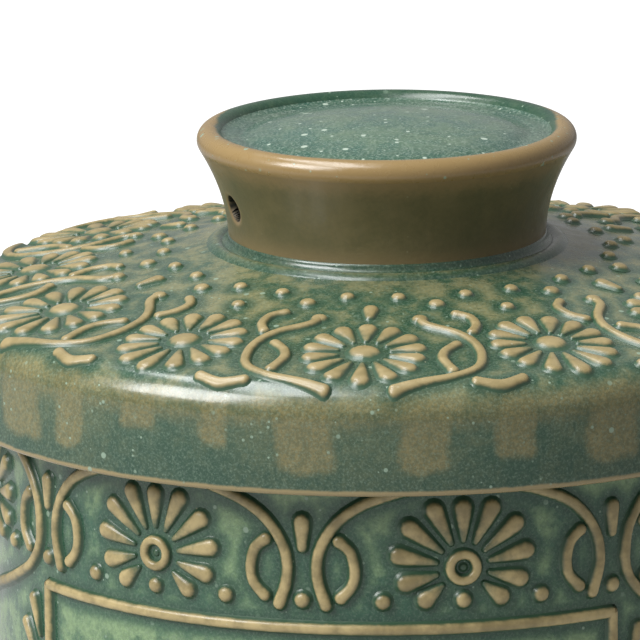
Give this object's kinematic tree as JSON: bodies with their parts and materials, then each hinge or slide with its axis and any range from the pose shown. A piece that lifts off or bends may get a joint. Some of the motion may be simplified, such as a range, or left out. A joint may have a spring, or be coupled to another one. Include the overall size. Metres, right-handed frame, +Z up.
{
  "type": "ginger jar",
  "caption": "Round glazed ginger jar with applied flower, scroll and panel relief, a broad overhanging lift-off lid and a hollow flared knob with a vent hole.",
  "frame": {"origin": "centre of the foot ring where it stands on the table", "axes": "+Z up along the jar's axis, which the lid lifts along; -Y is the front as pictured, with the nearest framed panel turned 12.2 degrees to -X"},
  "size_m": [0.164, 0.164, 0.2412],
  "materials": {
    "green_glaze": "glossy teal-green glaze with mottling and pale specks",
    "brown_glaze": "glossy olive-brown glaze where the green has run thin",
    "slip_relief": "glossy honey-tan glaze breaking over raised clay",
    "bare_clay": "matt fired clay left bare of glaze"
  },
  "bodies": {
    "jar": {"jar_wall": "green_glaze", "foot_ring": "bare_clay", "jar_flower_petals": "slip_relief", "jar_flower_rings": "slip_relief", "jar_arches": "slip_relief", "jar_crescents": "slip_relief", "jar_ovals": "slip_relief", "jar_dots": "slip_relief", "panel_frames": "slip_relief", "side_scrolls": "slip_relief", "side_leaves": "slip_relief"},
    "lid": {"lid_shell": "green_glaze", "lid_flange": "bare_clay", "lid_flower_petals": "slip_relief", "lid_flower_hearts": "slip_relief", "lid_scrolls": "slip_relief", "lid_crescents": "slip_relief", "lid_leaves": "slip_relief", "lid_drops": "slip_relief", "lid_dots": "slip_relief", "knob_collar": "green_glaze", "knob_wall": "brown_glaze", "knob_rim": "slip_relief", "knob_cap": "green_glaze"}
  },
  "joints": [
    {"name": "lid_lift", "type": "slide", "parent": "jar", "child": "lid", "axis": [0, 0, 1], "range_m": [0, 0.06]}
  ]
}
